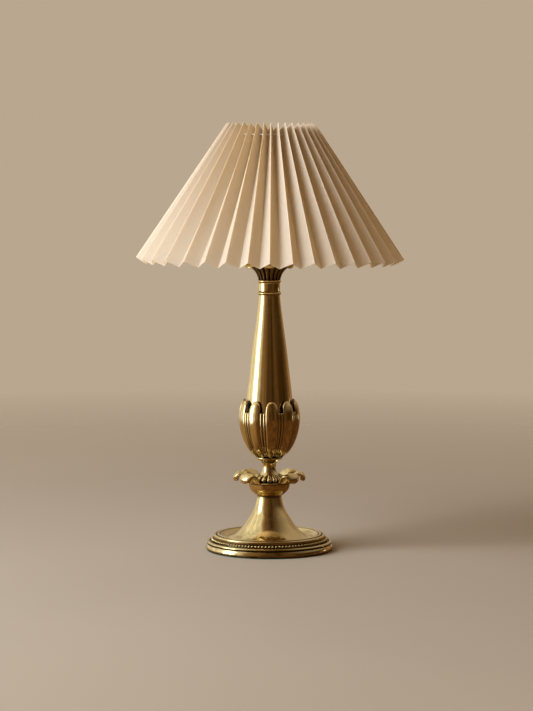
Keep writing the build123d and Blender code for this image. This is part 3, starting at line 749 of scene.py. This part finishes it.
class LAMP_OT_calyx(Operator):
    """Adds the calyx: a cup of long leaves with pairs of narrow ribs between them"""
    bl_idname = "lamp.add_calyx"
    bl_label = "Calyx"

    def execute(self, context):
        sizes = context.scene.lamp_stem
        leaf = [(13.0, 107.6, 2.0, 1.5), (17.4, 111.4, 3.3, 2.0), (22.0, 116.4, 4.6, 2.3),
                (26.0, 123.2, 5.8, 2.5), (29.3, 131.5, 6.6, 2.6), (31.8, 141.2, 7.1, 2.6),
                (33.0, 151.0, 7.4, 2.6), (32.7, 160.0, 7.3, 2.5), (31.5, 166.4, 6.6, 2.3),
                (30.4, 170.0, 5.3, 2.0), (29.6, 172.4, 3.4, 1.5), (29.1, 173.6, 1.0, 0.7)]
        leaves = draw_limb(leaf, 4, 28)
        repeat_round(sizes.leaves, -sizes.leaf_turn)
        rib = [(15.8, 110.2, 0.7, 0.6), (21.4, 116.2, 1.1, 1.1), (25.9, 123.4, 1.4, 1.5),
               (29.4, 131.8, 1.7, 1.8), (31.7, 141.3, 1.9, 2.0), (32.6, 151.0, 1.95, 2.0),
               (32.5, 158.4, 1.95, 1.9), (32.4, 160.2, 1.6, 1.5), (32.3, 160.9, 0.6, 0.5)]
        ribs = draw_limb(rib, 4, 18)
        between = math.pi / sizes.leaves - sizes.leaf_turn
        repeat_at([between + FULL_TURN * i / sizes.leaves + side * sizes.rib_turn
                   for i in range(sizes.leaves) for side in (-1, 1)])
        outside = smooth_line([(14.0, NECK_RING_TOP), (18.8, 112.4), (22.9, 117.1),
                               (26.5, 123.8), (29.8, 132.0), (32.0, 141.5), (33.1, 151.0),
                               (33.0, 159.6)], 5)
        inside = smooth_line([(31.0, 160.2), (30.8, 150.5), (28.9, 139.5), (25.6, 130.0),
                              (20.9, 121.5), (15.9, 115.0), (12.6, CALYX_SEAT)], 3)
        turn_round_bore(NECK_RING_TOP, CALYX_SEAT, outside, inside)
        join_up(leaves, ribs)
        set_up_brass("calyx_casting", "aged_brass", "calyx", crease=50.0)
        return {"FINISHED"}


class LAMP_OT_column(Operator):
    """Turns the long tapered column"""
    bl_idname = "lamp.add_column"
    bl_label = "Column"

    def execute(self, context):
        outside = smooth_line([(11.5, CALYX_SEAT), (16.2, 119.0), (21.5, 128.0), (25.0, 139.0),
                               (26.9, 152.0), (27.0, 164.0), (26.1, 179.4), (23.4, 202.4),
                               (20.2, 230.0), (16.5, 257.7), (13.5, 280.6),
                               (12.1, COLUMN_TOP)], 6)
        inside = smooth_line([(10.8, 290.0), (14.4, 257.7), (18.0, 230.0), (21.2, 202.4),
                              (24.8, 164.0), (22.6, 139.0), (13.4, 118.5)], 3)
        turn_round_bore(CALYX_SEAT, 115.0, outside, [(BORE, COLUMN_TOP), (BORE, 290.0)], inside,
                        [(10.0, 115.0)])
        set_up_brass("column_turning", "turned_brass", "column")
        return {"FINISHED"}


class LAMP_OT_rings(Operator):
    """Turns the two rings at the top of the column and the necking between them"""
    bl_idname = "lamp.add_rings"
    bl_label = "Rings and Necking"

    def execute(self, context):
        for node, low, high, outer in (("lower_ring", COLUMN_TOP, LOWER_RING_TOP, 13.6),
                                       ("upper_ring", NECKING_TOP, UPPER_RING_TOP, 13.5)):
            half = (high - low) / 2
            edge = arc_line((outer - half, low), (outer, low + half), (outer - half, high), 12)
            turn_round_bore(low, high, edge)
            set_up_brass(node + "_turning", "turned_brass", node)
        wall = smooth_line([(11.8, LOWER_RING_TOP), (12.1, LOWER_RING_TOP + 0.6),
                            (12.3, 302.7), (12.2, NECKING_TOP - 0.6), (11.9, NECKING_TOP)], 4)
        turn_round_bore(LOWER_RING_TOP, NECKING_TOP, wall)
        set_up_brass("necking_turning", "turned_brass", "necking")
        return {"FINISHED"}


class LAMP_OT_capital(Operator):
    """Adds the capital: a small bell with leaf ribs"""
    bl_idname = "lamp.add_capital"
    bl_label = "Capital"

    def execute(self, context):
        rib = [(11.7, 311.4, 1.2, 0.9), (12.1, 314.0, 1.5, 1.2), (12.9, 317.0, 1.8, 1.4),
               (14.3, 320.0, 2.2, 1.5), (16.4, 322.9, 2.6, 1.6), (19.2, 325.3, 3.1, 1.5),
               (21.6, 326.6, 2.9, 1.2), (22.6, 327.0, 2.0, 0.7)]
        ribs = draw_limb(rib, 4, 18)
        count = context.scene.lamp_stem.ribs
        repeat_round(count, math.pi / count)
        bell = smooth_line([(11.6, UPPER_RING_TOP), (12.0, 314.2), (12.8, 317.2),
                            (14.1, 320.2), (16.0, 323.2), (18.8, 325.7), (21.8, CAPITAL_TOP)], 5)
        turn_round_bore(UPPER_RING_TOP, CAPITAL_TOP, bell)
        join_up(ribs)
        set_up_brass("capital_casting", "deep_brass", "capital", crease=50.0)
        return {"FINISHED"}


class LAMP_OT_pan(Operator):
    """Adds the petalled drip pan that the lampholder stands in"""
    bl_idname = "lamp.add_pan"
    bl_label = "Drip Pan"

    def execute(self, context):
        petal = [(16.0, 328.0, 4.5, 0.6), (20.0, 328.6, 6.6, 0.8), (24.0, 329.5, 8.4, 1.0),
                 (27.6, 329.6, 9.1, 1.1), (30.4, 328.8, 8.4, 1.1), (32.2, 327.2, 6.6, 1.0),
                 (32.9, 325.8, 4.2, 0.8), (32.9, 324.9, 1.4, 0.5)]
        petals = draw_limb(petal, 4, 24)
        repeat_round(context.scene.lamp_stem.pan_petals)
        edge = arc_line((22.4, CAPITAL_TOP), (23.3, 328.2), (22.4, 329.2), 6)
        turn_round_bore(CAPITAL_TOP, PAN_TOP, edge, [(18.0, PAN_TOP)])
        join_up(petals)
        set_up_brass("drip_pan_casting", "pan_brass", "drip_pan", crease=50.0)
        return {"FINISHED"}


def fold_turn(step, pleats):
    """A fold's real turn from the front, as the folds aren't spaced evenly round the shade."""
    turn = math.pi * step / pleats
    if turn > math.pi:
        turn -= FULL_TURN
    drift = math.radians(DRIFT_LEFT if turn < 0 else DRIFT_RIGHT)
    return turn + math.copysign(drift * abs(math.sin(turn)) ** 3, turn)


class LAMP_OT_shade(Operator):
    """Folds the pleated shade out of one sheet"""
    bl_idname = "lamp.add_shade"
    bl_label = "Pleated Shade"

    def execute(self, context):
        sizes = context.scene.lamp_shade
        chance = random.Random(4)
        run = sizes.top_radius - sizes.bottom_radius
        rise = sizes.top_height - sizes.bottom_height
        slope = math.hypot(run, rise)
        inward = (-rise / slope, run / slope)
        folds = []
        for i in range(2 * sizes.pleats):
            error = math.radians(chance.uniform(-TURN_STRAY, TURN_STRAY))
            turn = fold_turn(i, sizes.pleats) + error
            ends = []
            for radius, height, depth, stray in (
                (sizes.bottom_radius, sizes.bottom_height, sizes.bottom_depth, RIM_STRAY),
                (sizes.top_radius, sizes.top_height, sizes.top_depth, CROWN_STRAY),
            ):
                up = chance.uniform(*stray) * MM
                inset = depth if i % 2 else RIDGE_INSET * MM
                r = radius + inset * inward[0] + up * run / slope
                z = height + inset * inward[1] + up * rise / slope
                ends.append(Vector((r * math.sin(turn), -r * math.cos(turn), z)))
            folds.append((*ends, chance.uniform(*FACE_BOW) * MM))
        corners, cloth, ridge_highlight = [], [], []
        for row in range(CLOTH_ROWS + 1):
            v = row / CLOTH_ROWS
            for i, (low, high, bow) in enumerate(folds):
                next_low, next_high, _ = folds[(i + 1) % len(folds)]
                here, there = low.lerp(high, v), next_low.lerp(next_high, v)
                normal = (there - here).cross(high - low).normalized()
                for u in CLOTH_COLUMNS:
                    swell = bow * math.sin(math.pi * u) * (0.4 + math.sin(math.pi * v))
                    corners.append(here.lerp(there, u) + normal * swell)
                    cloth.append(((i + u) * FACE_WIDTH, v * slope))
                    ridge_highlight.append(max(0.0, 1 - min(u, 1 - u) / HIGHLIGHT_SHARE))
        count = len(CLOTH_COLUMNS) * len(folds)
        faces = [(row * count + k, row * count + (k + 1) % count,
                  (row + 1) * count + (k + 1) % count, (row + 1) * count + k)
                 for row in range(CLOTH_ROWS) for k in range(count)]
        mesh = bpy.data.meshes.new("pleated_cloth")
        mesh.from_pydata(corners, [], faces)
        uv = mesh.uv_layers.new(name="Cloth")
        for loop in mesh.loops:
            uv.data[loop.index].uv = cloth[loop.vertex_index]
        for polygon in mesh.polygons:  # the last column joins the first, a whole sheet away
            ends = [uv.data[k] for k in polygon.loop_indices]
            if max(e.uv.x for e in ends) - min(e.uv.x for e in ends) > FACE_WIDTH:
                for e in ends:
                    e.uv.x += FACE_WIDTH * len(folds) if e.uv.x < FACE_WIDTH else 0.0
        # where the painted highlight along the folds goes
        fold = mesh.attributes.new("fold", "FLOAT", "POINT")
        fold.data.foreach_set("value", ridge_highlight)
        pivot = Vector((0, 0, sizes.top_height - SHADE_PIVOT_DROP))
        mesh.transform(Matrix.Translation(pivot + Vector((sizes.shift, 0, 0)))
                       @ Matrix.Rotation(sizes.lean, 4, "Y") @ Matrix.Translation(-pivot))
        piece = bring_in("pleated_cloth", mesh)
        wall = piece.modifiers.new("thickness", "SOLIDIFY")
        wall.thickness = sizes.thickness
        wall.offset = -1.0
        bpy.ops.object.modifier_apply(modifier=wall.name)
        set_up("pleated_cloth", finish("pleated_ivory"), body="shade",
               replaced=["pleated_shade"], crease=70.0)
        return {"FINISHED"}


class LAMP_OT_thread(Operator):
    """Runs the gathering thread through the folds near the top of the shade"""
    bl_idname = "lamp.add_thread"
    bl_label = "Gathering Thread"

    def execute(self, context):
        sizes = context.scene.lamp_shade
        points = []
        for i in range(2 * sizes.pleats):
            turn = fold_turn(i + 0.5, sizes.pleats)
            x, y = THREAD_RING_RADIUS * math.sin(turn), -THREAD_RING_RADIUS * math.cos(turn)
            lift = THREAD_WAVE * (-1) ** i - x * math.sin(sizes.lean)
            points.append((x + sizes.shift, y, THREAD_HEIGHT + lift))
        ring = bpy.data.curves.new("gathering_thread", "CURVE")
        ring.dimensions = "3D"
        ring.bevel_depth = THREAD_RADIUS
        ring.bevel_resolution = 2
        run = ring.splines.new("POLY")
        run.points.add(len(points) - 1)
        for place, point in zip(run.points, points):
            place.co = (*point, 1)
        run.use_cyclic_u = True
        bring_in("gathering_thread", ring)
        bpy.ops.object.convert(target="MESH")
        set_up("gathering_thread", finish("cotton_thread"), body="shade",
               replaced=["gather_cord"], crease=60.0)
        return {"FINISHED"}


class LAMP_OT_fittings(Operator):
    """Finishes the fittings that keep the shapes they were packed with"""
    bl_idname = "lamp.finish_fittings"
    bl_label = "Fittings' Finishes"

    def execute(self, context):
        looks = {
            "sheet_steel": ["base_plate"], "cast_iron": ["base_weight"],
            "plated_steel": ["lock_washer", "lower_nut", "threaded_tube", "holder_locknut"],
            "thin_brass": ["earth_tag", "terminal_screws", "centre_contact", "screw_shell"],
            "holder_brass": ["holder_cap", "holder_sleeve"], "bush_resin": ["cord_bush"],
            "dark_resin": ["holder_insulator", "push_bar", "shade_keeper"],
            "wire_steel": ["shade_carrier"], "solder": ["bulb_contact"],
            "bulb_metal": ["bulb_cap"], "clear_glass": ["bulb_glass"],
            "inner_glass": ["bulb_stem"], "filament": ["bulb_filament"],
        }
        for look, nodes in looks.items():
            for node in nodes:
                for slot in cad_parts[node].material_slots:
                    slot.material = finish(look)
        return {"FINISHED"}


# The stage

def set_world(backdrop, room):
    """Shows the backdrop's colour behind the lamp and in its metal, and lights with the room's."""
    board = Board("room", "worlds", "World Output")
    bpy.context.scene.world = board.owner
    rays = board.add("ShaderNodeLightPath").outputs
    seen = rays["Is Camera Ray"]
    for ray in ("Is Glossy Ray", "Is Transmission Ray"):
        seen = board.math("MAXIMUM", seen, rays[ray])
    light, view = (board.add("ShaderNodeBackground", {"Color": colour(tone)}).outputs[0]
                   for tone in (room, backdrop))
    board.show_mix(seen, light, view)


def add_floor(base):
    """A plain round floor that fades into the backdrop far from the lamp."""
    start_clean()
    bpy.ops.mesh.primitive_circle_add(vertices=96, radius=FLOOR_RADIUS, fill_type="NGON")
    floor = bpy.context.object
    floor.name = "floor"
    board = Board("plain_floor")
    where = board.add("ShaderNodeTexCoord").outputs["Object"]
    reach = board.add("ShaderNodeVectorMath", {0: where}, operation="LENGTH").outputs["Value"]
    cloud = board.noise(2.0)
    board.surface(Base_Color=board.blend(board.ramp(cloud, 0.4, 0.6), colour(base),
                                         colour(base, 0.97)), Roughness=0.7)
    clear = board.add("ShaderNodeBsdfTransparent").outputs[0]
    board.show_mix(board.ramp(reach, *FLOOR_FADE), board.shader.outputs[0], clear)
    floor.data.materials.append(board.owner)
    floor.visible_glossy = False


def seen_in_metal_only(thing):
    """Keeps a piece of the stage out of sight, apart from its reflection."""
    thing.visible_camera = thing.visible_diffuse = thing.visible_shadow = False
    thing.visible_transmission = False
    thing.data.materials[0].cycles.emission_sampling = "NONE"


def add_room(settings):
    """A dome that the brass mirrors: pale behind and on the left, dim in front."""
    start_clean()
    bpy.ops.mesh.primitive_uv_sphere_add(segments=48, ring_count=24, radius=DOME_RADIUS)
    dome = bpy.context.object
    dome.name = "room_dome"
    board = Board("room_dome")
    where = board.add("ShaderNodeSeparateXYZ", {0: board.place()}).outputs
    turn = board.math("ARCTAN2", where[0], board.math("MULTIPLY", where[1], -1.0))
    round_about = board.add("ShaderNodeValToRGB", {0: board.ramp(turn, -math.pi, math.pi)})
    stops = round_about.color_ramp.elements
    stops.remove(stops[1])
    for i, (degrees, tone) in enumerate(ROOM_STOPS):
        place = (degrees + 180) / 360
        stop = stops[0] if i == 0 else stops.new(place)
        stop.position = place
        stop.color = colour(getattr(settings, tone))
    rise = board.math("DIVIDE", where[2], DOME_RADIUS)
    streaks = board.ramp(board.noise(1.9, detail=5.0, stretch=(1, 1, 0.22)), 0.36, 0.62, 0.55, 1.25)
    tone = board.add("ShaderNodeVectorMath", {0: round_about.outputs[0], "Scale": streaks},
                     operation="SCALE").outputs["Vector"]
    far_side = board.math("MULTIPLY", board.ramp(rise, 0.2, 0.5), board.ramp(turn, 0.6, 2.1))
    tone = board.blend(far_side, tone, colour(settings.backdrop, 0.9))
    tone = board.blend(board.ramp(rise, 0.92, 0.99), tone, colour(settings.ceiling))
    below = board.blend(board.ramp(board.noise(2.2, detail=5.0), 0.36, 0.64),
                        colour(settings.below, 0.35), colour(settings.below, 1.7))
    lit = board.math("MULTIPLY", board.ramp(rise, -0.85, -0.45), board.ramp(turn, -0.6, -1.0))
    below = board.blend(lit, below, colour(settings.lit_below))
    tone = board.blend(board.ramp(rise, -0.06, -0.14), tone, below)
    board.show_glow(tone)
    dome.data.materials.append(board.owner)
    seen_in_metal_only(dome)


def facing(degrees, distance, low, high):
    """The place and the rotation of something upright that faces the lamp's axis."""
    turn = math.radians(degrees)
    place = (math.sin(turn) * distance, -math.cos(turn) * distance, (low + high) / 2)
    return place, (math.radians(90), 0, turn)


def add_pane(name, degrees, distance, width, low, high, tone, strength):
    """A small bright upright pane that is seen only in the metal."""
    start_clean()
    place, rotation = facing(degrees, distance, low, high)
    bpy.ops.mesh.primitive_plane_add(size=1, location=place, rotation=rotation)
    pane = bpy.context.object
    pane.name = name
    pane.scale = (width, high - low, 1)
    board = Board(name)
    board.show_glow(colour(tone), strength)
    pane.data.materials.append(board.owner)
    seen_in_metal_only(pane)


def add_window(watts, degrees, distance, width, low, high, tint):
    """A soft upright light; the metal mirrors a pane in its place."""
    light = bpy.data.lights.new("window", "AREA")
    light.shape = "RECTANGLE"
    light.size, light.size_y = width, high - low
    light.energy = watts
    light.color = tint
    window = bring_in("window", light)
    window.visible_glossy = False
    window.location, window.rotation_euler = facing(degrees, distance, low, high)


class LAMP_OT_stage(Operator):
    """Sets up the floor, the soft light, the room that the brass mirrors and the camera"""
    bl_idname = "lamp.set_stage"
    bl_label = "Stage"

    def execute(self, context):
        settings = context.scene.lamp_stage
        camera_data = bpy.data.cameras.new("camera")
        camera_data.lens = LENS_MM
        camera_data.sensor_width = SENSOR_MM
        camera = bring_in("camera", camera_data)
        camera.location = CAMERA_PLACE
        camera.rotation_euler = (math.radians(90) - CAMERA_PITCH, 0, 0)
        context.scene.camera = camera
        context.scene.view_settings.view_transform = "Standard"
        set_world(settings.backdrop, settings.room)
        add_floor(settings.floor)
        add_room(settings)
        for name, values in PANES.items():
            add_pane(name, *values)
        add_window(settings.window_power, *WINDOW)
        return {"FINISHED"}


class LAMP_PT_panel(Panel):
    """The lamp's sizes, finishes and pieces"""
    bl_label = "Candlestick Lamp"
    bl_idname = "LAMP_PT_panel"
    bl_space_type = "VIEW_3D"
    bl_region_type = "UI"
    bl_category = "Lamp"

    def draw(self, context):
        for group in ("lamp_stem", "lamp_shade", "lamp_finishes", "lamp_stage"):
            box = self.layout.box()
            settings = getattr(context.scene, group)
            for key in settings.__annotations__:
                box.prop(settings, key)
        for operator in PIECES:
            self.layout.operator(operator.bl_idname)


PIECES = (LAMP_OT_stage, LAMP_OT_felt, LAMP_OT_foot, LAMP_OT_beads, LAMP_OT_bowl,
          LAMP_OT_petals, LAMP_OT_spindle, LAMP_OT_calyx, LAMP_OT_column, LAMP_OT_rings,
          LAMP_OT_capital, LAMP_OT_pan, LAMP_OT_shade, LAMP_OT_thread, LAMP_OT_fittings)
GROUPS = {"lamp_stem": StemSizes, "lamp_shade": ShadeSizes, "lamp_finishes": Finishes,
          "lamp_stage": StageSettings}


def register():
    for cls in (*GROUPS.values(), *PIECES, LAMP_PT_panel):
        bpy.utils.register_class(cls)
    for name, cls in GROUPS.items():
        setattr(bpy.types.Scene, name, PointerProperty(type=cls))


def unregister():
    for name in GROUPS:
        delattr(bpy.types.Scene, name)
    for cls in (LAMP_PT_panel, *reversed(PIECES), *reversed(GROUPS.values())):
        bpy.utils.unregister_class(cls)


def main():
    register()
    for operator in PIECES:
        group, name = operator.bl_idname.split(".")
        getattr(getattr(bpy.ops, group), name)()
    start_clean()
    bpy.context.view_layer.update()


if __name__ == "__main__":
    main()
